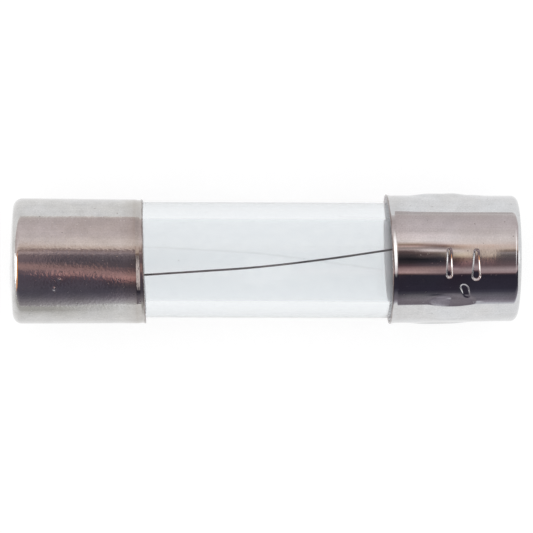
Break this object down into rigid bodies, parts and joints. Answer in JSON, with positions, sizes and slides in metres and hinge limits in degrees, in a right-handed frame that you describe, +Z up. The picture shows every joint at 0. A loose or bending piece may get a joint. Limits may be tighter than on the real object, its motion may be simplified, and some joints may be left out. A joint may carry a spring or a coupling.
{
  "type": "cartridge fuse",
  "caption": "Miniature glass cartridge fuse: a clear glass tube holding a fine fusible wire, closed by soldered nickel-plated metal end caps.",
  "frame": {"origin": "middle of the fuse, on the glass tube's axis", "axes": "+X along the fuse from the left cap to the right cap, +Z up with the fuse lying on its side, +Y across it"},
  "size_m": [0.0204, 0.0053, 0.0052],
  "materials": {
    "clear_glass": "gloss",
    "wire_metal": "satin",
    "satin_nickel_plate": "satin",
    "bright_nickel_plate": "gloss",
    "solder": "satin"
  },
  "bodies": {
    "root": {"glass_tube": "clear_glass", "fuse_wire": "wire_metal", "left_end_cap": "satin_nickel_plate", "right_end_cap": "bright_nickel_plate", "left_solder": "solder", "right_solder": "solder"}
  },
  "joints": []
}
